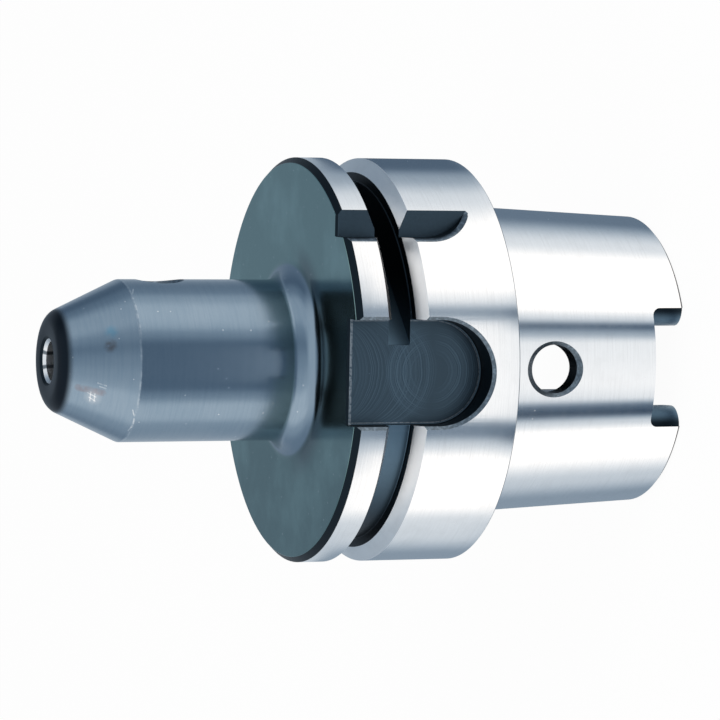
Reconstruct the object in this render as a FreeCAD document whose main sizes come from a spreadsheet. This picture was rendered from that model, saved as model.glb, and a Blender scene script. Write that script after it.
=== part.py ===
"""Side lock end mill holder on a hollow taper shank of flange size 63, in millimetres.

The holder is one turned and milled steel body with one screw that clamps the tool.
+Z runs along the axis towards the nose. The origin is where the axis meets the flange's
rear face. The keyway with the narrow end slot under it faces -Y and the clamping screw +X.
"""
import FreeCAD, Part
import Sketcher
import math
import os

DIMENSIONS = {
    "flange_diameter": 63.0,
    "flange_width": 26.0,
    "flange_front_chamfer": 0.9,
    "flange_rear_chamfer": 0.2,
    "groove_centre": 17.8,
    "groove_mouth_width": 6.5,
    "groove_slot_width": 3.96,
    "groove_flank_angle": 30.0,
    "groove_depth": 3.6,
    "balance_flat_distance": 21.5,
    "balance_flat_width": 3.5,
    "balance_flat_angle": 45.0,
    "keyway_width": 16.0,
    "keyway_depth": 5.1,
    "keyway_end": 4.4,
    "wide_keyway_width": 18.0,
    "wide_keyway_depth": 5.1,
    "keyway_edge_chamfer": 0.45,
    "floor_front_chamfer": 0.4,
    "notch_floor_from_rim": 11.2,
    "notch_side_from_rim": 11.5,
    "notch_end": 4.0,
    "taper_gauge_diameter": 48.01,
    "taper_gauge_distance": 6.3,
    "taper_ratio": 9.98,
    "shank_length": 32.0,
    "shank_end_chamfer": 0.5,
    "relief_width": 1.2,
    "relief_depth": 0.35,
    "relief_face_diameter": 49.6,
    "relief_face_depth": 0.25,
    "cavity_mouth_diameter": 34.0,
    "cavity_mouth_chamfer": 0.8,
    "clamping_gauge_diameter": 37.0,
    "clamping_gauge_distance": 18.13,
    "clamping_angle": 30.0,
    "cavity_diameter": 40.0,
    "cavity_straight_end": 4.0,
    "cavity_floor": 10.0,
    "cavity_floor_diameter": 28.0,
    "coolant_thread_bore": 16.92,
    "coolant_thread_depth": 9.0,
    "passage_diameter": 5.0,
    "end_slot_width": 12.54,
    "end_slot_depth": 5.6,
    "deep_end_slot_depth": 12.0,
    "end_slot_flank_from_taper": 5.72,
    "end_slot_flank_radius": 3.0,
    "end_slot_corner_radius": 1.3,
    "access_hole_diameter": 7.5,
    "access_hole_distance": 9.3,
    "access_countersink_diameter": 9.1,
    "nose_diameter": 25.0,
    "nose_tip": 65.0,
    "nose_cone_length": 11.2,
    "nose_cone_angle": 25.0,
    "nose_tip_radius": 2.75,
    "nose_root_radius": 3.5,
    "tool_bore_diameter": 6.0,
    "tool_bore_depth": 38.0,
    "tool_bore_chamfer": 0.8,
    "screw_from_tip": 17.8,
    "screw_thread_diameter": 6.0,
    "screw_hole_countersink": 7.7,
    "screw_length": 8.0,
    "screw_running_clearance": 0.05,
    "screw_tip_clearance": 0.1,
    "screw_tip_chamfer": 0.8,
    "screw_head_chamfer": 0.5,
    "screw_socket_width": 3.0,
    "screw_socket_depth": 3.2,
}
# how far a cutting outline reaches past the metal it cuts
OVERRUN = 2.0


class Size:
    """A length or angle that knows its value and the sheet expression that gives it."""

    def __init__(self, value, text):
        self.value = value
        self.text = text

    def join(self, other, sign, value):
        other_text = other.text if isinstance(other, Size) else repr(float(other))
        return Size(value, "(%s %s %s)" % (self.text, sign, other_text))

    def __add__(self, other):
        return self.join(other, "+", self.value + number(other))

    def __sub__(self, other):
        return self.join(other, "-", self.value - number(other))

    def __mul__(self, other):
        return self.join(other, "*", self.value * number(other))

    def __truediv__(self, other):
        return self.join(other, "/", self.value / number(other))

    def __neg__(self):
        return Size(-self.value, "(-1 * %s)" % self.text)


def number(size):
    return size.value if isinstance(size, Size) else float(size)


def tangent(angle):
    return Size(math.tan(math.radians(angle.value)), "tan(%s)" % angle.text)


def sine(angle):
    return Size(math.sin(math.radians(angle.value)), "sin(%s)" % angle.text)


def cosine(angle):
    return Size(math.cos(math.radians(angle.value)), "cos(%s)" % angle.text)


document = FreeCAD.newDocument("side_lock_holder")
sheet = document.addObject("Spreadsheet::Sheet", "dims")
for row, (alias, default) in enumerate(DIMENSIONS.items(), start=1):
    sheet.set("A%d" % row, alias)
    sheet.set("B%d" % row, str(default))
    sheet.setAlias("B%d" % row, alias)
document.recompute()


def dim(alias):
    return Size(float(sheet.get(alias)), "dims.%s" % alias)


ZERO = Size(0.0, "0")


def new_body(name):
    body = document.addObject("PartDesign::Body", name)
    body.Label = name
    return body


def new_sketch(body, name, role, offset=ZERO, shift=ZERO, turn=ZERO):
    """A sketch on an origin plane: offset along its normal, shift along its second axis."""
    sketch = body.newObject("Sketcher::SketchObject", name)
    plane = [item for item in body.Origin.OriginFeatures if item.Role == role][0]
    sketch.AttachmentSupport = [(plane, "")]
    sketch.MapMode = "FlatFace"
    sketch.AttachmentOffset = FreeCAD.Placement(
        FreeCAD.Vector(0, shift.value, offset.value), FreeCAD.Rotation(turn.value, 0, 0))
    sketch.setExpression(".AttachmentOffset.Base.z", offset.text)
    sketch.setExpression(".AttachmentOffset.Base.y", shift.text)
    sketch.setExpression(".AttachmentOffset.Rotation.Angle", turn.text)
    return sketch


def place_point(sketch, curve, end, x, y):
    """Tie one end of a curve to its two coordinates in the sketch."""
    for kind, axis, size in (("DistanceX", -2, x), ("DistanceY", -1, y)):
        if size is ZERO:
            sketch.addConstraint(Sketcher.Constraint("PointOnObject", curve, end, axis))
        else:
            index = sketch.addConstraint(Sketcher.Constraint(kind, -1, 1, curve, end, size.value))
            sketch.setExpression("Constraints[%d]" % index, size.text)


def arc_middle(start, stop, radius, side):
    """The middle of the shorter arc from start to stop; side 1 bulges to the left of its chord."""
    chord = stop.sub(start)
    half = chord.Length / 2
    rise = radius - math.sqrt(max(radius * radius - half * half, 0.0))
    left = FreeCAD.Vector(-chord.y, chord.x, 0).normalize()
    return (start + stop) / 2 + left * (rise * side)


def outline(sketch, corners):
    """A closed outline: each corner is (x, y), or (x, y, radius, side) where an arc starts."""
    points = [FreeCAD.Vector(corner[0].value, corner[1].value, 0) for corner in corners]
    ends = []
    for index, corner in enumerate(corners):
        start = points[index]
        stop = points[(index + 1) % len(points)]
        if len(corner) == 2:
            curve = sketch.addGeometry(Part.LineSegment(start, stop), False)
            ends.append((curve, 1, 2))
            continue
        radius, side = corner[2], corner[3]
        middle = arc_middle(start, stop, radius.value, side)
        curve = sketch.addGeometry(Part.Arc(start, middle, stop), False)
        forward = sketch.getPoint(curve, 1).distanceToPoint(start) < 1e-6
        ends.append((curve, 1, 2) if forward else (curve, 2, 1))
    for index, (curve, start_end, stop_end) in enumerate(ends):
        following, following_start, _ = ends[(index + 1) % len(ends)]
        sketch.addConstraint(
            Sketcher.Constraint("Coincident", curve, stop_end, following, following_start))
    for (curve, start_end, stop_end), corner in zip(ends, corners):
        place_point(sketch, curve, start_end, corner[0], corner[1])
        if len(corner) > 2:
            index = sketch.addConstraint(Sketcher.Constraint("Radius", curve, corner[2].value))
            sketch.setExpression("Constraints[%d]" % index, corner[2].text)


def circle(sketch, x, y, radius):
    centre = FreeCAD.Vector(x.value, y.value, 0)
    curve = sketch.addGeometry(Part.Circle(centre, FreeCAD.Vector(0, 0, 1), radius.value), False)
    place_point(sketch, curve, 3, x, y)
    index = sketch.addConstraint(Sketcher.Constraint("Radius", curve, radius.value))
    sketch.setExpression("Constraints[%d]" % index, radius.text)


def revolve(body, sketch, name, axis="V_Axis"):
    feature = body.newObject("PartDesign::Revolution", name)
    feature.Profile = sketch
    feature.ReferenceAxis = (sketch, [axis])
    feature.Angle = 360
    document.recompute()
    return feature


def cut_volume(body, feature, before):
    """Recompute a cut and stop if it took nothing away."""
    document.recompute()
    if not body.Shape.Volume < before - 1e-3:
        raise RuntimeError("%s cut nothing" % feature.Name)


def groove(body, sketch, name, axis="V_Axis"):
    before = body.Shape.Volume
    feature = body.newObject("PartDesign::Groove", name)
    feature.Profile = sketch
    feature.ReferenceAxis = (sketch, [axis])
    feature.Angle = 360
    cut_volume(body, feature, before)


def pocket(body, sketch, name, depth=None, along_normal=False, both_ways=False):
    """Cut an outline against its sketch's normal, or along it, by a depth or through all."""
    before = body.Shape.Volume
    feature = body.newObject("PartDesign::Pocket", name)
    feature.Profile = sketch
    feature.Reversed = along_normal
    if both_ways:
        feature.SideType = "Symmetric"
    if depth is None:
        feature.Type = "ThroughAll"
    else:
        feature.Length = depth.value
        feature.setExpression("Length", depth.text)
    cut_volume(body, feature, before)


def edge_names(shape, test):
    """Names of the edges whose sampled points all pass a test."""
    names = []
    for index, edge in enumerate(shape.Edges, start=1):
        if test(edge, edge.discretize(Number=9)):
            names.append("Edge%d" % index)
    return names


def dress(body, kind, name, edges, size_property, size):
    """A chamfer or fillet on named edges of the body's last feature."""
    base = body.Tip
    before = body.Shape.Volume
    feature = body.newObject("PartDesign::" + kind, name)
    feature.Base = (base, edges)
    setattr(feature, size_property, size.value)
    feature.setExpression(size_property, size.text)
    document.recompute()
    if "Invalid" in feature.State or abs(body.Shape.Volume - before) < 1e-3:
        raise RuntimeError("%s changed nothing" % feature.Name)


flange_radius = dim("flange_diameter") / 2
flange_width = dim("flange_width")
shank_end = -dim("shank_length")
nose_radius = dim("nose_diameter") / 2
nose_tip = dim("nose_tip")
bore_radius = dim("tool_bore_diameter") / 2
past_flange = flange_radius + OVERRUN
past_front = flange_width + OVERRUN
screw_height = nose_tip - dim("screw_from_tip")


def taper_radius(height):
    """Radius of the shank's outer cone at a height above the flange's rear face."""
    above_gauge = height + dim("taper_gauge_distance")
    return dim("taper_gauge_diameter") / 2 + above_gauge / dim("taper_ratio") / 2


def turned_blank(body):
    """The outside of the holder, from the shank's end to the tip, as one revolved profile."""
    shank_chamfer = dim("shank_end_chamfer")
    rear_chamfer = dim("flange_rear_chamfer")
    front_chamfer = dim("flange_front_chamfer")
    root = dim("nose_root_radius")
    tip_round = dim("nose_tip_radius")
    angle = dim("nose_cone_angle")
    cone_start = nose_tip - dim("nose_cone_length")
    corner_radius = nose_radius - dim("nose_cone_length") * tangent(angle)
    tangent_length = tip_round * tangent((Size(90.0, "90") - angle) / 2)
    sketch = new_sketch(body, "outside_profile", "XZ_Plane")
    outline(sketch, [
        (ZERO, shank_end),
        (taper_radius(shank_end + shank_chamfer) - shank_chamfer, shank_end),
        (taper_radius(shank_end + shank_chamfer), shank_end + shank_chamfer),
        (taper_radius(ZERO), ZERO),
        (flange_radius - rear_chamfer, ZERO),
        (flange_radius, rear_chamfer),
        (flange_radius, flange_width - front_chamfer),
        (flange_radius - front_chamfer, flange_width),
        (nose_radius + root, flange_width, root, 1),
        (nose_radius, flange_width + root),
        (nose_radius, cone_start),
        (corner_radius + tangent_length * sine(angle),
         nose_tip - tangent_length * cosine(angle), tip_round, -1),
        (corner_radius - tangent_length, nose_tip),
        (ZERO, nose_tip),
    ])
    revolve(body, sketch, "turned_blank")


def gripper_groove(body):
    """The V-flanked groove that a tool changer's gripper holds."""
    centre = dim("groove_centre")
    half_mouth = dim("groove_mouth_width") / 2
    half_slot = dim("groove_slot_width") / 2
    slope = tangent(dim("groove_flank_angle"))
    root = flange_radius - dim("groove_depth")
    flank_foot = flange_radius - (half_mouth - half_slot) / slope
    half_open = half_mouth + slope * OVERRUN
    sketch = new_sketch(body, "groove_profile", "XZ_Plane")
    outline(sketch, [
        (root, centre - half_slot),
        (flank_foot, centre - half_slot),
        (past_flange, centre - half_open),
        (past_flange, centre + half_open),
        (flank_foot, centre + half_slot),
        (root, centre + half_slot),
    ])
    groove(body, sketch, "gripper_groove")


def face_relief(body):
    """The small undercut where the taper meets the flange's rear face, cut into both."""
    width = dim("relief_width")
    depth = dim("relief_depth")
    foot = taper_radius(-width)
    rim = dim("relief_face_diameter") / 2
    sketch = new_sketch(body, "relief_profile", "XZ_Plane")
    outline(sketch, [
        (foot - depth, depth - width),
        (foot, -width),
        (rim, -width),
        (rim, ZERO),
        (rim - dim("relief_face_depth"), dim("relief_face_depth")),
        (foot - depth, dim("relief_face_depth")),
    ])
    groove(body, sketch, "face_relief")


def hollow(body):
    """The shank's cavity with its clamping shoulder, the coolant tube's bore and the tool bore."""
    mouth = dim("cavity_mouth_diameter") / 2
    mouth_chamfer = dim("cavity_mouth_chamfer")
    wide = dim("cavity_diameter") / 2
    gauge = dim("clamping_gauge_diameter") / 2
    gauge_height = -dim("clamping_gauge_distance")
    slope = tangent(dim("clamping_angle"))
    floor = dim("cavity_floor")
    thread = dim("coolant_thread_bore") / 2
    thread_end = floor + dim("coolant_thread_depth")
    passage = dim("passage_diameter") / 2
    bore_bottom = nose_tip - dim("tool_bore_depth")
    bore_chamfer = dim("tool_bore_chamfer")
    sketch = new_sketch(body, "inside_profile", "XZ_Plane")
    outline(sketch, [
        (ZERO, shank_end - OVERRUN),
        (mouth + mouth_chamfer, shank_end - OVERRUN),
        (mouth + mouth_chamfer, shank_end),
        (mouth, shank_end + mouth_chamfer),
        (mouth, gauge_height - (gauge - mouth) / slope),
        (wide, gauge_height + (wide - gauge) / slope),
        (wide, dim("cavity_straight_end")),
        (dim("cavity_floor_diameter") / 2, floor),
        (thread, floor),
        (thread, thread_end),
        (passage, thread_end + (thread - passage) * slope),
        (passage, bore_bottom - (bore_radius - passage)),
        (bore_radius, bore_bottom),
        (bore_radius, nose_tip - bore_chamfer),
        (bore_radius + bore_chamfer, nose_tip),
        (bore_radius + bore_chamfer, nose_tip + OVERRUN),
        (ZERO, nose_tip + OVERRUN),
    ])
    groove(body, sketch, "hollow")


def round_ended_slot(sketch, centre, half_width, end_height):
    """A slot open at the flange's front, with a full round end of the cutter's radius."""
    left = centre - half_width
    right = centre + half_width
    round_centre = end_height + half_width
    outline(sketch, [
        (left, past_front),
        (left, round_centre, half_width, -1),
        (centre, end_height, half_width, -1),
        (right, round_centre),
        (right, past_front),
    ])


def flange_keyways(body):
    """The two keyways milled into the flange's rim, of two widths, on opposite sides."""
    sketch = new_sketch(body, "keyway_outline", "XZ_Plane",
                        offset=flange_radius - dim("keyway_depth"))
    round_ended_slot(sketch, ZERO, dim("keyway_width") / 2, dim("keyway_end"))
    pocket(body, sketch, "keyway", along_normal=True)
    sketch = new_sketch(body, "wide_keyway_outline", "XZ_Plane",
                        offset=dim("wide_keyway_depth") - flange_radius)
    round_ended_slot(sketch, ZERO, dim("wide_keyway_width") / 2, dim("keyway_end"))
    pocket(body, sketch, "wide_keyway")


def orientation_notch(body):
    """The flat notch beside the keyway, cut by the keyway's cutter."""
    half_width = dim("keyway_width") / 2
    side = flange_radius - dim("notch_side_from_rim")
    sketch = new_sketch(body, "notch_outline", "XZ_Plane",
                        offset=flange_radius - dim("notch_floor_from_rim"))
    round_ended_slot(sketch, side + half_width, half_width, dim("notch_end"))
    pocket(body, sketch, "orientation_notch", along_normal=True)


def rim_chamfers(body):
    """Broken edges round the keyways and the notch where they open on the flange's rim."""
    rim = flange_radius.value
    front = flange_width.value
    keyway_floor = (dim("keyway_depth") - flange_radius).value
    wide_keyway_floor = (flange_radius - dim("wide_keyway_depth")).value
    notch_floor = (dim("notch_floor_from_rim") - flange_radius).value

    def opens_on_rim(edge, points):
        on_rim = all(abs(math.hypot(p.x, p.y) - rim) < 1e-3 for p in points)
        off_seam = any(abs(p.y) > 1.0 for p in points)
        runs_along = max(p.z for p in points) - min(p.z for p in points) > 0.1
        on_notch_floor = all(abs(p.y - notch_floor) < 1e-3 for p in points)
        below_front = min(p.z for p in points) < front - 1.0
        return on_rim and off_seam and runs_along and below_front and not on_notch_floor

    def floor_front(edge, points):
        floors = (keyway_floor, wide_keyway_floor, notch_floor)
        on_floor = any(all(abs(p.y - floor) < 1e-3 for p in points) for floor in floors)
        return on_floor and all(abs(p.z - front) < 1e-3 for p in points)

    names = edge_names(body.Shape, opens_on_rim)
    dress(body, "Chamfer", "rim_chamfers", names, "Size", dim("keyway_edge_chamfer"))
    names = edge_names(body.Shape, floor_front)
    dress(body, "Chamfer", "floor_front_chamfers", names, "Size", dim("floor_front_chamfer"))


def balance_flat(body):
    """The flat milled into the groove's root between the keyway and the notch."""
    half_width = dim("balance_flat_width") / 2
    reach = flange_radius - dim("groove_depth")
    distance = dim("balance_flat_distance")
    sketch = new_sketch(body, "balance_outline", "XY_Plane",
                        offset=dim("groove_centre") - half_width, turn=dim("balance_flat_angle"))
    outline(sketch, [
        (-reach, -distance),
        (reach, -distance),
        (reach, -(reach + 1.0)),
        (-reach, -(reach + 1.0)),
    ])
    pocket(body, sketch, "balance_flat", depth=dim("balance_flat_width"), along_normal=True)


def end_slot(body, name, side, depth):
    """One of the drive slots in the shank's end; side -1 is the keyway's side."""
    half_width = dim("end_slot_width") / 2
    flank = taper_radius(shank_end) - dim("end_slot_flank_from_taper")
    round_over = dim("end_slot_flank_radius")
    outside = taper_radius(ZERO) + OVERRUN
    inside = flank / 2
    outer_half = half_width + round_over
    sketch = new_sketch(body, name + "_outline", "XY_Plane", offset=shank_end)
    outline(sketch, [
        (-half_width, inside * side),
        (half_width, inside * side),
        (half_width, flank * side, round_over, side),
        (outer_half, (flank + round_over) * side),
        (outer_half, outside * side),
        (-outer_half, outside * side),
        (-outer_half, (flank + round_over) * side, round_over, side),
        (-half_width, flank * side),
    ])
    pocket(body, sketch, name, depth=depth, along_normal=True)


def end_slots(body):
    """The two drive slots, of two depths, with their bottom corners rounded."""
    shallow = dim("end_slot_depth")
    deep = dim("deep_end_slot_depth")
    end_slot(body, "end_slot", -1, shallow)
    end_slot(body, "deep_end_slot", 1, deep)
    floors = ((shank_end + shallow).value, (shank_end + deep).value)
    side_wall = (dim("end_slot_width") / 2 + dim("end_slot_flank_radius")).value

    def bottom_corner(edge, points):
        on_floor = any(all(abs(p.z - floor) < 1e-3 for p in points) for floor in floors)
        return on_floor and all(abs(abs(p.x) - side_wall) < 1e-3 for p in points)

    names = edge_names(body.Shape, bottom_corner)
    dress(body, "Fillet", "end_slot_corners", names, "Radius", dim("end_slot_corner_radius"))


def access_holes(body):
    """The countersunk holes through both shank walls, in line with the keyways."""
    radius = dim("access_hole_diameter") / 2
    height = -dim("access_hole_distance")
    rim = dim("access_countersink_diameter") / 2
    surface = taper_radius(height)
    sketch = new_sketch(body, "access_outline", "XZ_Plane")
    circle(sketch, ZERO, height, radius)
    pocket(body, sketch, "access_holes", both_ways=True)
    sketch = new_sketch(body, "access_countersinks", "YZ_Plane", shift=height)
    for side in (-1, 1):
        foot = (surface - (rim - radius)) * side
        top = (surface + OVERRUN) * side
        outline(sketch, [
            (foot, ZERO),
            (foot, radius),
            (top, rim + OVERRUN),
            (top, ZERO),
        ])
    groove(body, sketch, "access_countersink_cut", axis="H_Axis")


def screw_hole(body):
    """The clamping screw's hole, from the tool bore out through the nose."""
    radius = dim("screw_thread_diameter") / 2
    rim = dim("screw_hole_countersink") / 2
    sketch = new_sketch(body, "screw_hole_outline", "YZ_Plane")
    circle(sketch, ZERO, screw_height, radius)
    pocket(body, sketch, "screw_hole", along_normal=True)
    sketch = new_sketch(body, "screw_countersink", "XZ_Plane", shift=screw_height)
    foot = nose_radius - (rim - radius)
    outline(sketch, [
        (foot, ZERO),
        (foot, radius),
        (nose_radius + OVERRUN, rim + OVERRUN),
        (nose_radius + OVERRUN, ZERO),
    ])
    groove(body, sketch, "screw_countersink_cut", axis="H_Axis")


def make_holder():
    body = new_body("holder_body")
    turned_blank(body)
    gripper_groove(body)
    face_relief(body)
    hollow(body)
    flange_keyways(body)
    orientation_notch(body)
    rim_chamfers(body)
    balance_flat(body)
    end_slots(body)
    access_holes(body)
    screw_hole(body)
    return body


def make_screw():
    """The clamping screw, with a hexagon socket, drawn back until its tip clears the bore."""
    body = new_body("side_lock_screw")
    radius = dim("screw_thread_diameter") / 2 - dim("screw_running_clearance")
    tip = bore_radius + dim("screw_tip_clearance")
    head = tip + dim("screw_length")
    tip_chamfer = dim("screw_tip_chamfer")
    head_chamfer = dim("screw_head_chamfer")
    sketch = new_sketch(body, "screw_profile", "XZ_Plane", shift=screw_height)
    outline(sketch, [
        (tip, ZERO),
        (tip, radius - tip_chamfer),
        (tip + tip_chamfer, radius),
        (head - head_chamfer, radius),
        (head, radius - head_chamfer),
        (head, ZERO),
    ])
    revolve(body, sketch, "screw_blank", axis="H_Axis")
    corner = dim("screw_socket_width") / 2 / cosine(Size(30.0, "30"))
    sketch = new_sketch(body, "socket_outline", "YZ_Plane", offset=head, shift=screw_height)
    corners = []
    for step in range(6):
        turn = Size(60.0 * step + 30.0, "%g" % (60 * step + 30))
        corners.append((corner * cosine(turn), corner * sine(turn)))
    outline(sketch, corners)
    pocket(body, sketch, "socket", depth=dim("screw_socket_depth"))
    return body


def check(bodies):
    """Stop before anything is written if a feature failed or a shape is not a sound solid."""
    document.recompute()
    for item in document.Objects:
        if "Invalid" in item.State or "Error" in item.State:
            raise RuntimeError("%s is not valid: %s" % (item.Name, item.State))
    for body in bodies:
        shape = body.Shape
        if shape.isNull() or not shape.isValid() or len(shape.Solids) != 1:
            raise RuntimeError("%s is not one valid solid" % body.Label)
        print(body.Label, "volume", round(shape.Volume, 2), "mm3, box", shape.BoundBox)


def main():
    bodies = [make_holder(), make_screw()]
    check(bodies)
    os.makedirs("parts", exist_ok=True)
    for body in bodies:
        body.Shape.exportStep("parts/%s.step" % body.Label)


main()
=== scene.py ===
"""Looks of a side lock end mill holder on a hollow taper shank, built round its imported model.

Lengths in the code are millimetres, and MM turns them into metres. The frame's boxes and the
property groups hold metres.
+Z runs along the axis to the nose, +X to the clamping screw and -Y to the narrower keyway.
"""
import math

import bpy
import numpy as np
from bpy.props import FloatProperty, FloatVectorProperty, PointerProperty
from mathutils import Matrix, Quaternion, Vector


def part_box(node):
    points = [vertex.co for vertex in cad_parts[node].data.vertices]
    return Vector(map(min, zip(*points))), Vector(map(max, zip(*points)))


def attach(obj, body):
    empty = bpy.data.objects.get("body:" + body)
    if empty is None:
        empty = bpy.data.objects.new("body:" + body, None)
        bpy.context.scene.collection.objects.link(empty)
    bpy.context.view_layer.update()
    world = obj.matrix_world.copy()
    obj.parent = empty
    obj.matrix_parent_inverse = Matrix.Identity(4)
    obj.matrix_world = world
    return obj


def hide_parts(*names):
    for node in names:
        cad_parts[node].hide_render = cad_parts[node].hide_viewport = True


bl_info = {
    "name": "Side lock end mill holder",
    "version": (1, 0, 0),
    "blender": (4, 5, 0),
    "location": "3D View > Sidebar > Holder",
    "description": "Dresses a side lock end mill holder in ground and blackened steel",
    "category": "Object",
}

MM = 0.001
TURN_STEPS = 320
SHARP_ANGLE = math.radians(28)

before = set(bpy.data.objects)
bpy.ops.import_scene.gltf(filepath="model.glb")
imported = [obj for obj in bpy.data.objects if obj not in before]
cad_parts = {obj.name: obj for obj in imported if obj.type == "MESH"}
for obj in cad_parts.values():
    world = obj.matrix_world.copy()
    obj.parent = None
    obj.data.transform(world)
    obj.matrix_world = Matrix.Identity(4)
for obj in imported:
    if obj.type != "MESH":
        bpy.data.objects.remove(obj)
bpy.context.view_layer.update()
body_low, body_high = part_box("holder_body")
screw_low, screw_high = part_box("side_lock_screw")

# Materials of the body, in the order of its slots
GROUND, SATIN, MILLED, BORE, CAVITY, FLANK, EDGE = range(7)

# Sizes of the nose and the shank. Radii are from the axis and heights from the rear face.
FLANGE_RADIUS = body_high.x / MM
SHANK_END = body_low.z / MM
NOSE_TIP = body_high.z / MM
SCREW_HEIGHT = (screw_low.z + screw_high.z) / 2 / MM
NOSE_RADIUS = 12.5
CONE_START = NOSE_TIP - 11.2
CONE_SLOPE = math.tan(math.radians(25))
BORE_RADIUS = 3.0
SCREW_HOLE_RADIUS = 3.0
ACCESS_RADIUS = 3.75
ACCESS_HEIGHT = -9.3
TAPER_GAUGE_RADIUS = 24.005
TAPER_GAUGE_HEIGHT = -6.3
TAPER_RATIO = 9.98

# Sizes of the flange, its groove and its cuts
FLANGE_FRONT = 26.0
GROOVE_CENTRE = 17.8
GROOVE_HALF_MOUTH = 3.25
GROOVE_HALF_SLOT = 1.98
GROOVE_ROOT = FLANGE_RADIUS - 3.6
KEYWAY_FLOOR = FLANGE_RADIUS - 5.1
KEYWAY_END = 4.4
KEYWAY_HALF = 8.0
WIDE_KEYWAY_HALF = 9.0
NOTCH_FLOOR = FLANGE_RADIUS - 11.2
NOTCH_SIDE = FLANGE_RADIUS - 11.5
NOTCH_END = 4.0
BALANCE_FLAT = 21.5
BALANCE_HALF_WIDTH = 1.75
DIAGONAL = math.sqrt(0.5)

# How far cutters run: past a surface that they break, above the flange and outside its rim
PAST = 0.2
ABOVE = FLANGE_FRONT + 4.0
OUTSIDE = FLANGE_RADIUS + 4.5

# The photograph's view: the camera stands off -Y, turned towards +X and raised, looks at the
# target and is rolled about its own axis
CAMERA_TARGET = Vector((-0.091, -0.007, 13.954))
CAMERA_DISTANCE = 638.94
CAMERA_TURN = math.radians(4.1)
CAMERA_RISE = math.radians(20.84)
CAMERA_ROLL = math.radians(-90.3)
SENSOR_WIDTH = 36.0
FOCAL_LENGTH = 203.8615

# Marks on the nose at (height, degrees), or from one such place to another. Degrees turn from
# -Y to +X.
BLUE_SMUDGE = (57.7, 28.0)
DARK_SMUDGE = (58.0, 16.5)
HEAT_STREAK = ((62.3, -24.0), (58.9, -24.5))
RUBBED_PATCH = (60.1, -31.0)
STROKES = [((59.7, -16.0), (58.5, -17.5)), ((59.4, -19.0), (58.5, -20.0))]
HATCH = [((60.9, -27.5), (59.7, -30.0)), ((60.6, -32.0), (59.7, -34.5)),
         ((60.5, -26.0), (60.4, -36.0)), ((59.9, -27.0), (59.8, -36.0))]
NICKS = [((54.4, -33.5), (54.0, -38.5)), ((53.9, -41.0), (53.8, -46.0)),
         ((53.9, -50.0), (54.1, -55.5)), ((53.1, 64.5), (53.5, 59.0))]

# A rub on the taper, from one (x, y, z) to another
TAPER_RUB = ((0.9, -23.1, -13.5), (0.9, -23.3, -10.5))


# Properties

class HolderSizes(bpy.types.PropertyGroup):
    """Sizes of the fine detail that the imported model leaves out."""
    edge_round: FloatProperty(
        name="Edge rounding", description="Rounding of the turned edges",
        default=0.06 * MM, unit="LENGTH")
    rim_chamfer: FloatProperty(
        name="Rim chamfer", description="Chamfer where keyways and notch open on the rim",
        default=0.5 * MM, unit="LENGTH")
    floor_fillet: FloatProperty(
        name="Floor fillet", description="Fillet between the floor and wall of a keyway",
        default=0.25 * MM, unit="LENGTH")
    thread_pitch: FloatProperty(
        name="Screw pitch", description="Pitch of the clamping screw's thread",
        default=1.0 * MM, unit="LENGTH")
    thread_depth: FloatProperty(
        name="Thread depth", description="Depth of the clamping screw's thread",
        default=0.55 * MM, unit="LENGTH")


class HolderColours(bpy.types.PropertyGroup):
    """Colours of the finishes, as linear values."""
    ground_steel: FloatVectorProperty(
        name="Ground steel", description="Rim, groove flanks and taper",
        default=(0.94, 0.95, 0.96), size=3, subtype="COLOR", min=0, max=1)
    blued_steel: FloatVectorProperty(
        name="Blued steel", description="Nose and front face",
        default=(0.31, 0.395, 0.475), size=3, subtype="COLOR", min=0, max=1)
    milled_steel: FloatVectorProperty(
        name="Milled steel", description="Blackened floors and walls of the milled cuts",
        default=(0.048, 0.078, 0.106), size=3, subtype="COLOR", min=0, max=1)
    cavity_steel: FloatVectorProperty(
        name="Cavity steel", description="Turned inside of the shank",
        default=(0.42, 0.44, 0.46), size=3, subtype="COLOR", min=0, max=1)
    screw_steel: FloatVectorProperty(
        name="Screw steel", description="Blackened clamping screw",
        default=(0.05, 0.05, 0.055), size=3, subtype="COLOR", min=0, max=1)


# Shader graph helpers

class Value:
    """A socket that takes part in Python expressions by adding Math nodes to its graph."""

    def __init__(self, graph, socket):
        self.graph = graph
        self.socket = socket

    def math(self, operation, *operands):
        return self.graph.add("ShaderNodeMath", {"operation": operation},
                              dict(enumerate((self,) + operands)))

    def __add__(self, other):
        return self.math("ADD", other)

    def __sub__(self, other):
        return self.math("SUBTRACT", other)

    def __rsub__(self, other):
        return self.graph.add("ShaderNodeMath", {"operation": "SUBTRACT"}, {0: other, 1: self})

    def __mul__(self, other):
        return self.math("MULTIPLY", other)

    def __truediv__(self, other):
        return self.math("DIVIDE", other)

    def __pow__(self, other):
        return self.math("POWER", other)

    def __gt__(self, other):
        return self.math("GREATER_THAN", other)

    def __lt__(self, other):
        return self.math("LESS_THAN", other)

    def __abs__(self):
        return self.math("ABSOLUTE")

    __radd__ = __add__
    __rmul__ = __mul__

    def sqrt(self):
        return self.math("SQRT")

    def clamped(self):
        """The value held between 0 and 1."""
        return self.math("MAXIMUM", 0.0).math("MINIMUM", 1.0)

    def step(self, start, end):
        """A smooth step: 0 at start, 1 at end."""
        return self.graph.add("ShaderNodeMapRange", {"interpolation_type": "SMOOTHSTEP"},
                              {"Value": self, "From Min": start, "From Max": end})


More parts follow.
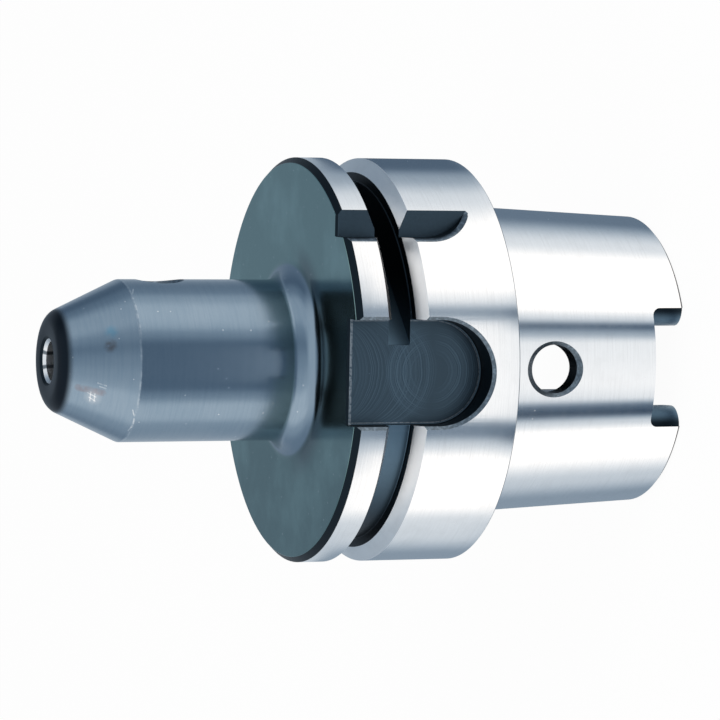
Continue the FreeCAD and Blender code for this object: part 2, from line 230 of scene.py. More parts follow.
class Graph:
    """The node tree of a material or world."""

    def __init__(self, tree):
        self.tree = tree
        tree.nodes.clear()

    def add(self, kind, settings=None, inputs=None, output=0, stops=None):
        """Add one node: its settings and ramp stops first, then its sockets' values or links."""
        node = self.tree.nodes.new(kind)
        for name, value in (settings or {}).items():
            setattr(node, name, value)
        if stops:
            ramp = node.color_ramp
            while len(ramp.elements) < len(stops):
                ramp.elements.new(1.0)
            for element, (position, colour) in zip(ramp.elements, stops):
                element.position = position
                element.color = colour
        for name, value in (inputs or {}).items():
            if isinstance(value, Value):
                self.tree.links.new(value.socket, node.inputs[name])
            else:
                node.inputs[name].default_value = value
        if node.outputs:
            return Value(self, node.outputs[output])

    def grey(self, level):
        return (level, level, level, 1.0)

    def ramp(self, value, levels):
        """A smooth grey ramp round the whole turn, from (degrees, level) pairs. Its value is 0
        at -180 degrees and 1 at 180."""
        stops = [((degrees + 180) / 360, self.grey(level)) for degrees, level in levels]
        ramp = self.add("ShaderNodeValToRGB", inputs={"Fac": value}, stops=stops)
        ramp.socket.node.color_ramp.interpolation = "EASE"
        return ramp

    def mix(self, factor, first, second):
        """A colour between first and second."""
        return self.add("ShaderNodeMix", {"data_type": "RGBA"}, {0: factor, 6: first, 7: second},
                        output=2)

    def combine(self, x, y, z):
        return self.add("ShaderNodeCombineXYZ", inputs={0: x, 1: y, 2: z})

    def noise(self, vector, scale, detail=2.0, roughness=0.5):
        return self.add("ShaderNodeTexNoise", {"noise_dimensions": "3D"},
                        {"Vector": vector, "Scale": scale, "Detail": detail,
                         "Roughness": roughness})

    def cells(self, vector, scale, output=0):
        """Cell noise: output 0 is the distance to a cell's point, output 1 its colour."""
        return self.add("ShaderNodeTexVoronoi", {}, {"Vector": vector, "Scale": scale},
                        output=output)

    def point(self):
        """The vector to the shaded point of the piece, in millimetres."""
        place = self.add("ShaderNodeTexCoord", output=3)
        return self.add("ShaderNodeVectorMath", {"operation": "SCALE"},
                        {0: place, "Scale": 1 / MM})

    def split(self, vector):
        """A vector's x, y and z."""
        node = self.add("ShaderNodeSeparateXYZ", inputs={0: vector}).socket.node
        return [Value(self, output) for output in node.outputs]

    def steel(self, tone, rough, height, distance_mm, strength, metallic=1.0):
        """The material's only surface: its colour and roughness, and a bump of some height."""
        bump = self.add("ShaderNodeBump", inputs={
            "Height": height, "Distance": distance_mm * MM, "Strength": strength})
        shader = self.add("ShaderNodeBsdfPrincipled", inputs={
            "Base Color": tone, "Metallic": metallic, "Roughness": rough, "Normal": bump})
        self.add("ShaderNodeOutputMaterial", inputs={"Surface": shader})


def new_graph(name):
    """A material and its graph."""
    material = bpy.data.materials.new(name)
    material.use_nodes = True
    return material, Graph(material.node_tree)


def colour(value, red=1.0, green=None, blue=None):
    """An opaque colour, with each part scaled. One factor alone scales all three."""
    green = red if green is None else green
    blue = red if blue is None else blue
    return (min(1.0, value[0] * red), min(1.0, value[1] * green), min(1.0, value[2] * blue), 1.0)


def from_axis(x, y):
    """Distance from an axis at x = 0, y = 0: sqrt(x^2 + y^2)."""
    return (x * x + y * y).sqrt()


def on_nose(place):
    """The point of the nose's surface at a height and a turn a: x = r sin a, y = -r cos a. The
    radius r shrinks up the cone."""
    height, degrees = place
    radius = NOSE_RADIUS - max(0.0, height - CONE_START) * CONE_SLOPE
    turn = math.radians(degrees)
    return (radius * math.sin(turn), -radius * math.cos(turn), height)


def tool_lines(graph, period, spread):
    """Lines left round the axis by turning or grinding: noise that is fine along the profile
    and long round the axis. The profile is followed by height plus 0.62 of the radius."""
    x, y, z = graph.split(graph.point())
    radius = from_axis(x, y)
    along = (z + radius * 0.62) / period
    round_x = x / radius * spread
    round_y = y / radius * spread
    return graph.noise(graph.combine(round_x, round_y, along), 1.0, 3.0, 0.7)


def specks(graph, point, scale, size, share):
    """Small round marks: cells near their point, kept in a share of the cells."""
    near = graph.cells(point, scale) < size
    pick = graph.add("ShaderNodeSeparateColor", inputs={0: graph.cells(point, scale, 1)})
    return near * (pick > 1.0 - share)


def spot(graph, point, centre, size):
    """A soft round mark: 1 up to 0.3 times its size from the centre, and 0 from 1.5 times on."""
    away = graph.add("ShaderNodeVectorMath", {"operation": "DISTANCE"}, {0: point, 1: centre},
                     output=1)
    return away.step(size * 1.5, size * 0.3)


def scratch(graph, point, start, end, width):
    """A straight mark: 1 up to 0.4 times its width from the line, and 0 from its width on. The
    nearest point of the line is start + d * clamp(d . (p - start)), with d along it."""
    line = Vector(end) - Vector(start)
    along = line.normalized()
    offset = graph.add("ShaderNodeVectorMath", {"operation": "SUBTRACT"}, {0: point, 1: start})
    reach = graph.add("ShaderNodeVectorMath", {"operation": "DOT_PRODUCT"},
                      {0: offset, 1: along}, output=1)
    reach = reach.math("MAXIMUM", 0.0).math("MINIMUM", line.length)
    nearest = graph.add("ShaderNodeVectorMath", {"operation": "SCALE"}, {0: along, "Scale": reach})
    away = graph.add("ShaderNodeVectorMath", {"operation": "DISTANCE"}, {0: offset, 1: nearest},
                     output=1)
    return away.step(width, width * 0.4)


def ground_material(colours, name="ground_steel", roughness=0.09):
    """Ground steel: fine bright lines round the axis, with a few handling marks."""
    material, graph = new_graph(name)
    point = graph.point()
    lines = tool_lines(graph, 0.13, 3.0)
    broad = tool_lines(graph, 1.1, 6.0)
    cloud = graph.noise(point, 0.35, 4.0, 0.6)
    dust = specks(graph, point, 0.8, 0.07, 0.12)
    rub = scratch(graph, point, TAPER_RUB[0], TAPER_RUB[1], 0.12)
    base = colour(colours.ground_steel)
    dark = colour(base, 0.72)
    tone = graph.mix((lines.step(0.42, 0.75) * 0.24 + cloud.step(0.45, 0.8) * 0.16).clamped(),
                     base, dark)
    rough = roughness + lines * 0.07 + broad * 0.04 + (dust + rub) * 0.2
    graph.steel(tone, rough, lines + dust, 0.002, 0.30)
    return material


def satin_material(colours):
    """Blued steel: satin, with turning lines, smudges and scratches on the cone, and specks. The
    flange's front carries painted shade towards -X and a painted dark reflection of the nose.
    """
    material, graph = new_graph("blued_steel")
    point = graph.point()
    x, y, z = graph.split(point)
    lines = tool_lines(graph, 0.26, 1.5)
    cloud = graph.noise(point, 0.11, 4.0, 0.6)
    fine = graph.noise(point, 1.1, 3.0, 0.6)
    dust = specks(graph, point, 0.7, 0.075, 0.4)
    base = colour(colours.blued_steel)
    deep = colour(base, 0.76, 0.83, 0.88)
    tone = graph.mix((cloud + lines.step(0.40, 0.66) * 0.28 - 0.2).clamped(), base, deep)
    # The flange's front is a greener black with paler clouds, and painted shade darkens it towards
    # -X
    front = z.step(FLANGE_FRONT + 0.3, FLANGE_FRONT + 0.05)
    green = colour(base, 0.74, 0.92, 0.76)
    moss = colour(base, 1.02, 1.22, 1.00)
    painted_shade_tone = colour(base, 0.44, 0.58, 0.50)
    patch = graph.noise(point, 0.09, 3.0, 0.55).step(0.42, 0.72)
    painted_shade_share = x.step(-3.0, -17.0) * 0.7
    plate = graph.mix((patch * 0.8 + fine * 0.3 - 0.1).clamped(), graph.mix(painted_shade_share, green, painted_shade_tone),
                      graph.mix(painted_shade_share, moss, green))
    # A painted dark reflection of the nose darkens the front further towards the nose's root on
    # the near side
    root = from_axis(x, y).step(20.0, 15.5) * y.step(0.0, -9.0)
    plate = graph.mix(root * 0.7, plate, colour(base, 0.3))
    tone = graph.mix(front, tone, plate)
    # Smudges of oil and old heat on the cone
    ragged = fine.step(0.2, 0.65)
    stain = ragged * 0.6 + 0.05
    tone = graph.mix(spot(graph, point, on_nose(BLUE_SMUDGE), 1.0) * stain, tone,
                     (0.16, 0.36, 0.50, 1.0))
    tone = graph.mix(spot(graph, point, on_nose(DARK_SMUDGE), 0.9) * stain, tone,
                     (0.13, 0.10, 0.09, 1.0))
    streak = scratch(graph, point, on_nose(HEAT_STREAK[0]), on_nose(HEAT_STREAK[1]), 0.75)
    tone = graph.mix(streak * stain * 0.6, tone, (0.26, 0.15, 0.14, 1.0))
    # Bare metal where the cone and its edge are scratched or worn
    rubbed = abs(z - CONE_START).step(0.30, 0.05) * fine.step(0.35, 0.7)
    bare = dust * 0.5 + rubbed * 0.3 + spot(graph, point, on_nose(RUBBED_PATCH), 1.2) * 0.25
    for start, end in STROKES + HATCH + NICKS:
        line = scratch(graph, point, on_nose(start), on_nose(end), 0.13)
        bare = bare + line * ragged * 0.55
    tone = graph.mix(bare.clamped(), tone, (0.86, 0.88, 0.90, 1.0))
    # The nose's rounded tip turns black
    tip = z.step(NOSE_TIP - 2.1, NOSE_TIP - 0.9)
    tone = graph.mix(tip, tone, (0.012, 0.018, 0.026, 1.0))
    rough = 0.11 + cloud * 0.08 + fine * 0.03 + lines * 0.03 + tip * 0.15
    graph.steel(tone, rough, lines + dust * 2.0, 0.002, 0.25)
    return material


def milled_material(colours):
    """Blackened milled steel: cutter rings on the keyway floors, walls and groove painted near
    black as shade, painted reflections lighter on the groove's root and the balance flat's end,
    and painted shading on the flanks beside the end slots."""
    material, graph = new_graph("milled_steel")
    point = graph.point()
    x, y, z = graph.split(point)
    # The cutter's last rings stand round the keyway's end, and arcs of its feed cross them
    end_height = KEYWAY_END + KEYWAY_HALF
    ring_z = z - end_height
    ring = from_axis(x, ring_z)
    wander = graph.noise(point, 0.5, 2.0) * 0.35
    rings = graph.noise(graph.combine((ring + wander) / 0.26, 0.0, 0.0), 1.0, 4.0, 0.9)
    feed_reach = 8.124
    sweep = z + (feed_reach * feed_reach - x * x).math("MAXIMUM", 0.0).sqrt()
    arcs = graph.noise(graph.combine((sweep + wander) / 0.30, 4.0, 0.0), 1.0, 4.0, 0.9)
    across = abs(ring_z) / (ring + 0.1)
    rings = rings.step(0.44, 0.64) * ring.step(2.0, 4.4) * ring.step(7.9, 6.6) * across
    arcs = arcs.step(0.46, 0.68) * sweep.step(19.4, 20.6)
    # Floors of the notch and the keyways
    notch = abs(y + NOTCH_FLOOR).step(0.08, 0.04) * (z < FLANGE_FRONT) * (x > NOTCH_SIDE - 0.1)
    floor = abs(abs(y) - KEYWAY_FLOOR).step(0.08, 0.04) * (abs(x) < WIDE_KEYWAY_HALF + 0.05)
    marks = rings.math("MAXIMUM", arcs * 0.8) * floor
    fine = graph.noise(point, 2.2, 3.0, 0.6)
    dust = specks(graph, point, 0.7, 0.05, 0.2)
    base = colour(colours.milled_steel)
    pale = colour(base, 2.6)
    # Away from the floors, the walls and the groove are painted near black: painted shade in the
    # cuts
    tone = graph.mix((floor + notch * (0.6 + fine * 0.5)).clamped(), colour(base, 0.28), base)
    tone = graph.mix((marks * 0.85 + dust * 0.7).clamped(), tone, pale)
    # Bright lines run round the keyway floor's outline and along its front edge on the -Y side
    straight = z > end_height
    reach = abs(x) * straight + ring * (1.0 - straight)
    outline = abs(reach - (KEYWAY_HALF - 0.32)).step(0.10, 0.03) \
        + z.step(FLANGE_FRONT - 0.76, FLANGE_FRONT - 0.64)
    bright_outline_lines = outline * floor * (y < 0.0) * fine.step(0.3, 0.6) * 0.5
    tone = graph.mix(bright_outline_lines.clamped(), tone, (0.45, 0.50, 0.55, 1.0))
    # The groove's root is painted lighter next to the keyway, and so is the balance flat's end:
    # painted reflections
    root = abs(from_axis(x, y) - GROOVE_ROOT).step(0.2, 0.1) * x.step(-28.0, -9.0) \
        * x.step(-7.0, -8.0)
    flat = abs((x - y) * DIAGONAL - BALANCE_FLAT).step(0.2, 0.1) * (1.0 - floor) \
        * x.step(15.0, 2.5)
    inside = abs(z - GROOVE_CENTRE) < 1.9
    tone = graph.mix(((root + flat) * inside).clamped(), tone, pale)
    # The rounded flanks of the end slots fade from bright at the slot to black outside: painted
    # shading of their rounding
    flank = z.step(SHANK_END + 6.0, SHANK_END + 5.6) * abs(x).step(8.8, 7.2)
    tone = graph.mix(flank * 0.8, tone, pale)
    graph.steel(tone, 0.34 + fine * 0.14, marks * 1.5 + fine * 0.3, 0.008, 0.5,
                1.0 - (floor + notch) * 0.15)
    return material


def edge_material(colours):
    """Broken edges of the milled cuts, half blackened."""
    material, graph = new_graph("edge_steel")
    fine = graph.noise(graph.point(), 2.0, 3.0, 0.6)
    base = colour(colours.blued_steel)
    tone = graph.mix(fine.step(0.42, 0.72) * 0.35, colour(base, 0.42), colour(base, 1.5))
    graph.steel(tone, 0.3 + fine * 0.1, fine, 0.006, 0.4)
    return material


def bore_material(colours):
    """Bright reamed steel of the tool bore, with fine lines round it and two dark streaks that are
    painted reflections.
    """
    material, graph = new_graph("bore_steel")
    lines = tool_lines(graph, 0.12, 2.0)
    x, y, z = graph.split(graph.point())
    turn = abs(x.math("ARCTAN2", y))
    # Two dark streaks 20 degrees either side of +Y: painted dark reflections
    streak = abs(turn - math.radians(20)).step(0.14, 0.05)
    tone = graph.mix(streak * 0.85, colour(colours.ground_steel), colour(colours.milled_steel))
    graph.steel(tone, 0.24 + lines * 0.14, lines, 0.004, 0.4)
    return material


def cavity_material(colours):
    """Turned steel inside the shank, with coarser feed lines."""
    material, graph = new_graph("cavity_steel")
    lines = tool_lines(graph, 0.35, 1.2)
    graph.steel(colour(colours.cavity_steel), 0.26 + lines * 0.16, lines, 0.008, 0.5)
    return material


def screw_material(colours):
    """Black oxide on the clamping screw."""
    material, graph = new_graph("screw_steel")
    fine = graph.noise(graph.point(), 1.6, 3.0, 0.6)
    base = colour(colours.screw_steel)
    tone = graph.mix(fine.step(0.5, 0.8) * 0.6, base, colour(base, 3.0))
    graph.steel(tone, 0.34 + fine * 0.12, fine, 0.01, 0.3, 0.8)
    return material


# Surfaces

def mesh_of(name, points_mm, faces, material_index=None):
    """A mesh of an (n, 3) array of points and a list or array of faces."""
    mesh = bpy.data.meshes.new(name)
    mesh.from_pydata((points_mm * MM).tolist(), [], faces)
    if material_index is not None:
        mesh.polygons.foreach_set("material_index", material_index.astype(np.int32))
    mesh.update()
    return mesh


def turned_outwards(mesh):
    """Flip the faces where the closed mesh holds a negative volume: a sixth of the sum over
    its triangles of a . (b x c)."""
    mesh.calc_loop_triangles()
    corners = np.zeros(len(mesh.loop_triangles) * 3, np.int32)
    mesh.loop_triangles.foreach_get("vertices", corners)
    points = np.zeros(len(mesh.vertices) * 3, np.float64)
    mesh.vertices.foreach_get("co", points)
    a, b, c = points.reshape(-1, 3)[corners.reshape(-1, 3)].transpose(1, 0, 2)
    if np.einsum("ij,ij->", a, np.cross(b, c)) < 0:
        mesh.flip_normals()
    return mesh


def grid_faces(rows, columns, close_rows):
    """Quads of a grid whose columns close into a ring, and whose rows do too if asked."""
    row = np.arange(rows if close_rows else rows - 1)[:, None]
    column = np.arange(columns)[None, :]
    next_row = (row + 1) % rows
    next_column = (column + 1) % columns
    quads = np.stack(np.broadcast_arrays(
        row * columns + column, row * columns + next_column,
        next_row * columns + next_column, next_row * columns + column), -1)
    return quads.reshape(-1, 4)


def corner_arc(before, corner, after, radius, count):
    """Points of a rounded corner: an arc of the given radius that touches both sides, from
    one tangent point to the other by turning one radius vector into the other."""
    to_before = (before - corner) / np.linalg.norm(before - corner)
    to_after = (after - corner) / np.linalg.norm(after - corner)
    half = math.acos(np.clip(to_before @ to_after, -1, 1)) / 2
    middle = to_before + to_after
    centre = corner + middle / np.linalg.norm(middle) * radius / math.sin(half)
    first = corner + to_before * radius / math.tan(half) - centre
    last = corner + to_after * radius / math.tan(half) - centre
    sweep = math.pi - 2 * half
    share = np.linspace(0, 1, count)[:, None]
    return centre + (np.sin((1 - share) * sweep) * first + np.sin(share * sweep) * last) \
        / math.sin(sweep)


def rounded_profile(corners):
    """A closed profile from (radius, height, rounding, zone) corners: its points, and for each
    point the zone of the surface that follows it."""
    points = np.array([corner[:2] for corner in corners])
    before = np.roll(points, 1, axis=0)
    after = np.roll(points, -1, axis=0)
    arcs = [corner_arc(before[i], points[i], after[i], corner[2], 12 if corner[2] > 1 else 3)
            for i, corner in enumerate(corners)]
    zones = [np.full(len(arc), corner[3]) for arc, corner in zip(arcs, corners)]
    return np.concatenate(arcs), np.concatenate(zones)


def turned(name, profile, zones, steps):
    """A closed profile (r, z) turned about Z: x = r cos a, y = r sin a."""
    angle = np.arange(steps) * 2 * math.pi / steps
    r = profile[:, :1]
    z = np.broadcast_to(profile[:, 1:], (len(profile), steps))
    points = np.stack([r * np.cos(angle), r * np.sin(angle), z], -1)
    faces = grid_faces(len(profile), steps, True)
    return turned_outwards(mesh_of(name, points.reshape(-1, 3), faces.tolist(),
                                   np.repeat(zones, steps)))


def stacked(name, levels, zones):
    """A closed solid through a stack of outlines with the same number of points, (level,
    point, 3), its first and last closed by a flat face. A zone is given for each gap."""
    count, width = levels.shape[:2]
    sides = grid_faces(count, width, False)
    first = np.arange(width)[::-1].tolist()
    last = (np.arange(width) + (count - 1) * width).tolist()
    index = np.concatenate([np.repeat(zones, width), [zones[0], zones[-1]]])
    return turned_outwards(mesh_of(name, levels.reshape(-1, 3), sides.tolist() + [first, last],
                                   index))


def slot_outline(half_width, end_centre, offset):
    """A slot's outline in (x, z): a round end of half_width and two sides up past the flange's
    front, offset outwards."""
    end_steps, side_steps = 48, 25
    reach = half_width + offset
    angle = np.linspace(math.pi, 2 * math.pi, end_steps)
    round_x = reach * np.cos(angle)
    round_z = end_centre + reach * np.sin(angle)
    side_z = np.linspace(end_centre, ABOVE, side_steps)
    x = np.concatenate([round_x[:-1], np.full(side_steps, reach), np.full(side_steps, -reach)])
    z = np.concatenate([round_z[:-1], side_z, side_z[::-1]])
    return x[:-1], z[:-1]


def over_rim(x, reach, least):
    """Depth from the axis where a cylinder of this reach stands over x: y = sqrt(reach^2 - x^2),
    and no less than least."""
    return np.maximum(np.sqrt(np.maximum(reach * reach - x * x, 0.0)), least)


def rim_slot(name, side, half_width, fillet, chamfer):
    """A keyway's cutter on the side of +Y or -Y: a floor, a fillet, a wall up to the chamfer's
    depth below the rim, and a 45 degree flare that follows the rim's curve."""
    end_centre = KEYWAY_END + half_width
    levels = []
    for angle in np.linspace(0, math.pi / 2, 5):
        x, z = slot_outline(half_width, end_centre, -fillet * (1 - math.sin(angle)))
        levels.append((x, np.full(len(x), KEYWAY_FLOOR + fillet * (1 - math.cos(angle))), z))
    for offset, lift in ((0.0, -chamfer), (chamfer + PAST, PAST)):
        x, z = slot_outline(half_width, end_centre, offset)
        levels.append((x, over_rim(x, FLANGE_RADIUS + lift, KEYWAY_FLOOR + fillet + 0.01), z))
    levels.append((x, np.full(len(x), OUTSIDE), z))
    stack = np.array([np.stack([x, side * y, z], -1) for x, y, z in levels])
    zones = [MILLED] * 5 + [EDGE] * 2
    return stacked(name, stack, np.array(zones))


def prism(name, outline, start, stop, axes, zone):
    """A straight prism: a closed outline of (first, second) coordinates carried from start to
    stop along the third; axes gives where the three go in x, y, z."""
    ends = np.array([start, stop])[:, None]
    flat = np.broadcast_to(outline, (2,) + outline.shape)
    stack = np.concatenate([flat, np.broadcast_to(ends, flat.shape[:2])[..., None]], -1)
    placed = np.empty_like(stack)
    for source, target in enumerate(axes):
        placed[..., target] = stack[..., source]
    return stacked(name, placed, np.array([zone]))


def bored(name, stations, radii, axis, zones, centre, count=96):
    """A round cutter along an axis: circles of the given radii at the given stations."""
    angle = np.arange(count) * 2 * math.pi / count
    radii = np.array(radii)[:, None]
    first = radii * np.cos(angle)
    second = radii * np.sin(angle)
    along = np.broadcast_to(np.array(stations)[:, None], first.shape)
    order = {"x": (along, first, second + centre), "y": (first, along, second + centre)}[axis]
    return stacked(name, np.stack(order, -1), np.array(zones))


def taper_radius(height):
    """Radius of the shank's taper: the gauge radius plus half the rise over the ratio."""
    return TAPER_GAUGE_RADIUS + (height - TAPER_GAUGE_HEIGHT) / (2 * TAPER_RATIO)


def body_profile(edge):
    """The holder's closed profile, up its outside from the shank's end and down its inside."""
    # Outside: shank, relief at the rear face, flange with its groove, nose
    shank_end = taper_radius(SHANK_END + 0.5)
    relief, seat = 0.35, 24.8
    relief_radius = taper_radius(-1.2) - relief
    groove_flank = (GROOVE_HALF_MOUTH - GROOVE_HALF_SLOT) * math.tan(math.radians(60))
    outside = [
        # The shank end's chamfer takes the milled steel's near black: a painted dark reflection in
        # place of the floor that it mirrors
        (shank_end - 0.5, SHANK_END, edge, MILLED),
        (shank_end, SHANK_END + 0.5, 0.12, GROUND),
        (relief_radius + relief, -1.2, edge, CAVITY),
        (relief_radius, -1.2 + relief, 0.08, CAVITY),
        (relief_radius, 0.25, 0.08, CAVITY),
        (seat - 0.25, 0.25, edge, CAVITY),
        (seat, 0.0, edge, GROUND),
        (FLANGE_RADIUS - 0.2, 0.0, 0.04, EDGE),
        (FLANGE_RADIUS, 0.2, 0.04, GROUND),
        (FLANGE_RADIUS, GROOVE_CENTRE - GROOVE_HALF_MOUTH, edge, FLANK),
        (FLANGE_RADIUS - groove_flank, GROOVE_CENTRE - GROOVE_HALF_SLOT, edge, MILLED),
        (GROOVE_ROOT, GROOVE_CENTRE - GROOVE_HALF_SLOT, 0.2, MILLED),
        (GROOVE_ROOT, GROOVE_CENTRE + GROOVE_HALF_SLOT, 0.2, MILLED),
        (FLANGE_RADIUS - groove_flank, GROOVE_CENTRE + GROOVE_HALF_SLOT, edge, FLANK),
        (FLANGE_RADIUS, GROOVE_CENTRE + GROOVE_HALF_MOUTH, edge, GROUND),
        (FLANGE_RADIUS, FLANGE_FRONT - 0.9, edge, MILLED),
        (FLANGE_RADIUS - 0.9, FLANGE_FRONT, 0.2, SATIN),
        (NOSE_RADIUS, FLANGE_FRONT, 3.5, SATIN),
        (NOSE_RADIUS, CONE_START, 0.8, SATIN),
        (NOSE_RADIUS - (NOSE_TIP - CONE_START) * CONE_SLOPE, NOSE_TIP, 2.75, SATIN),
    ]
    # Inside: tool bore, passage, the coolant tube's bore and the cavity with its clamping cone
    steep = math.tan(math.radians(30))
    passage, tube, mouth, cavity = 2.5, 8.46, 17.0, 20.0
    bore_floor, tube_end, cavity_floor = 26.5, 19.0, 10.0
    cone_top = -18.13 + (cavity - 18.5) / steep
    inside = [
        (BORE_RADIUS + 0.8, NOSE_TIP, edge, MILLED),
        (BORE_RADIUS + 0.44, NOSE_TIP - 0.37, 0.03, BORE),
        (BORE_RADIUS, NOSE_TIP - 0.8, edge, BORE),
        (BORE_RADIUS, bore_floor + 0.5, 0.05, BORE),
        (passage, bore_floor, 0.05, BORE),
        (passage, tube_end + (tube - passage) * steep, 0.05, CAVITY),
        (tube, tube_end, 0.05, CAVITY),
        (tube, cavity_floor, 0.15, CAVITY),
        (cavity - 6.0, cavity_floor, 0.3, CAVITY),
        (cavity, cavity_floor - 6.0, 0.5, CAVITY),
        (cavity, cone_top, 0.4, GROUND),
        (mouth, cone_top - (cavity - mouth) / steep, 0.3, CAVITY),
        (mouth, SHANK_END + 0.8, edge, GROUND),
        (mouth + 0.8, SHANK_END, edge, GROUND),
    ]
    return rounded_profile(outside + inside)


def end_slot_cutter(name, side, floor):
    """A drive slot's cutter, in plan: parallel walls that round outwards at 3 mm radius, and
    bottom corners of 1.3 mm made by narrowing the outline near the floor."""
    half, flank, bend, corner = 6.27, 17.0, 3.0, 1.3
    inner, outer = 8.0, 27.0
    angle = np.linspace(math.pi, math.pi / 2, 12)
    arc_x = half + bend + bend * np.cos(angle)
    arc_y = flank + bend * np.sin(angle)
    right_x = np.concatenate([[half], arc_x, [half + bend]])
    right_y = np.concatenate([[inner], arc_y, [outer]])
    x = np.concatenate([right_x, -right_x[::-1]])
    y = np.concatenate([right_y, right_y[::-1]])
    steps = np.linspace(0, math.pi / 2, 7)
    heights = np.concatenate([[SHANK_END - 2], floor - corner + corner * np.sin(steps)])
    limits = np.concatenate([[half + bend],
                             half + bend - corner * (1 - np.cos(steps))])[:, None]
    shape = (len(heights), len(x))
    levels = np.stack([np.clip(x, -limits, limits), np.broadcast_to(side * y, shape),
                       np.broadcast_to(heights[:, None], shape)], -1)
    return stacked(name, levels, np.full(len(heights) - 1, MILLED))


def notch_cutter(name, chamfer):
    """The orientation notch's cutter: a floor and a side wall with a round lower end, flared by
    the chamfer where the wall meets the rim."""
    half = 8.0
    levels = []
    for offset, reach, least in ((0.0, 0.0, NOTCH_FLOOR),
                                 (0.0, FLANGE_RADIUS - chamfer, NOTCH_FLOOR + 0.02),
                                 (chamfer + PAST, FLANGE_RADIUS + PAST, NOTCH_FLOOR + 0.04),
                                 (chamfer + PAST, 0.0, OUTSIDE)):
        x, z = slot_outline(half, NOTCH_END + half, offset)
        x = x + NOTCH_SIDE + half
        levels.append(np.stack([x, -over_rim(x, reach, least), z], -1))
    return stacked(name, np.array(levels), np.array([MILLED, EDGE, EDGE]))


def balance_cutter(name):
    """The flat in the groove's root, across the corner between +X and -Y."""
    width, outside = GROOVE_ROOT, GROOVE_ROOT + 1.0
    flat = np.array([[-width, BALANCE_FLAT], [width, BALANCE_FLAT],
                     [width, outside], [-width, outside]])
    spin = np.array([[DIAGONAL, DIAGONAL], [DIAGONAL, -DIAGONAL]])
    return prism(name, flat @ spin, GROOVE_CENTRE - BALANCE_HALF_WIDTH,
                 GROOVE_CENTRE + BALANCE_HALF_WIDTH, (0, 1, 2), MILLED)


def front_edge(name, floor, side, start, stop):
    """A broken edge between a cut's floor and the flange's front: a triangle in (y, z)."""
    broken = 0.4
    deep = floor + PAST
    outline = np.array([[side * deep, FLANGE_FRONT - broken - PAST],
                        [side * (floor - broken - PAST), FLANGE_FRONT + PAST],
                        [side * deep, FLANGE_FRONT + PAST]])
    return prism(name, outline, start, stop, (1, 2, 0), MILLED)


def access_hole(name, side):
    """One end of the access hole, countersunk where it opens on the shank."""
    stations = side * np.array([18.0, 22.9, 26.0])
    radii = [ACCESS_RADIUS, ACCESS_RADIUS, ACCESS_RADIUS + 3.15]
    return bored(name, stations, radii, "y", [MILLED, EDGE], ACCESS_HEIGHT)


def screw_hole(name):
    """The clamping screw's hole, countersunk where it opens on the nose."""
    stations = [0.0, NOSE_RADIUS - 0.85, NOSE_RADIUS + 0.5]
    radii = [SCREW_HOLE_RADIUS, SCREW_HOLE_RADIUS, SCREW_HOLE_RADIUS + 1.35]
    return bored(name, stations, radii, "x", [BORE, EDGE], SCREW_HEIGHT)


def hex_outline(across):
    """Corners of a hexagon of the given width across its flats."""
    angle = np.arange(6) * math.pi / 3 + math.pi / 6
    return np.stack([np.cos(angle), np.sin(angle)], -1) * across / 2 / math.cos(math.pi / 6)


def cut(target, meshes):
    """Take closed meshes out of target's mesh."""
    cutters = []
    for mesh in meshes:
        for material in target.data.materials:
            mesh.materials.append(material)
        cutter = bpy.data.objects.new(mesh.name, mesh)
        bpy.context.scene.collection.objects.link(cutter)
        modifier = target.modifiers.new(mesh.name, "BOOLEAN")
        modifier.operation = "DIFFERENCE"
        modifier.solver = "EXACT"
        modifier.object = cutter
        cutters.append(cutter)
    depsgraph = bpy.context.evaluated_depsgraph_get()
    result = bpy.data.meshes.new_from_object(target.evaluated_get(depsgraph))
    target.modifiers.clear()
    target.data = result
    for cutter in cutters:
        bpy.data.objects.remove(cutter)


def finished(piece, body, node):
    """Shade smooth between sharp edges with large faces kept flat, and put the piece in the
    place of its CAD node."""
    mesh = piece.data
    mesh.polygons.foreach_set("use_smooth", np.ones(len(mesh.polygons), bool))
    mesh.set_sharp_from_angle(angle=SHARP_ANGLE)
    weighted = piece.modifiers.new("flat_faces", "WEIGHTED_NORMAL")
    weighted.weight = 100
    weighted.keep_sharp = True
    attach(piece, body)
    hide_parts(node)


def new_piece(name, mesh, materials):
    for material in materials:
        mesh.materials.append(material)
    piece = bpy.data.objects.new(name, mesh)
    bpy.context.scene.collection.objects.link(piece)
    return piece


# Operators

class HOLDER_OT_body(bpy.types.Operator):
    """Make the holder's steel body with its cuts and finishes."""
    bl_idname = "holder.make_body"
    bl_label = "Holder body"

    def execute(self, context):
        sizes = context.scene.holder_sizes
        colours = context.scene.holder_colours
        edge = sizes.edge_round / MM
        chamfer = sizes.rim_chamfer / MM
        fillet = sizes.floor_fillet / MM
        profile, zones = body_profile(edge)
        mesh = turned("holder_shell", profile, zones, TURN_STEPS)
        piece = new_piece("holder_shell", mesh, [
            ground_material(colours), satin_material(colours), milled_material(colours),
            bore_material(colours), cavity_material(colours),
            ground_material(colours, "flank_steel", 0.28), edge_material(colours)])
        cut(piece, [
            rim_slot("keyway", -1, KEYWAY_HALF, fillet, chamfer),
            rim_slot("wide_keyway", 1, WIDE_KEYWAY_HALF, fillet, chamfer),
            notch_cutter("notch", chamfer),
            balance_cutter("balance_flat"),
            front_edge("keyway_front", KEYWAY_FLOOR, -1, -KEYWAY_HALF, KEYWAY_HALF),
            front_edge("wide_keyway_front", KEYWAY_FLOOR, 1, -WIDE_KEYWAY_HALF, WIDE_KEYWAY_HALF),
            front_edge("notch_front", NOTCH_FLOOR, -1, NOTCH_SIDE + 0.05, FLANGE_RADIUS - 1.5),
            end_slot_cutter("end_slot", -1, SHANK_END + 5.6),
            end_slot_cutter("deep_end_slot", 1, SHANK_END + 12.0),
            access_hole("near_access", -1),
            access_hole("far_access", 1),
            screw_hole("screw_hole"),
        ])
        finished(piece, "holder", "holder_body")
        return {"FINISHED"}


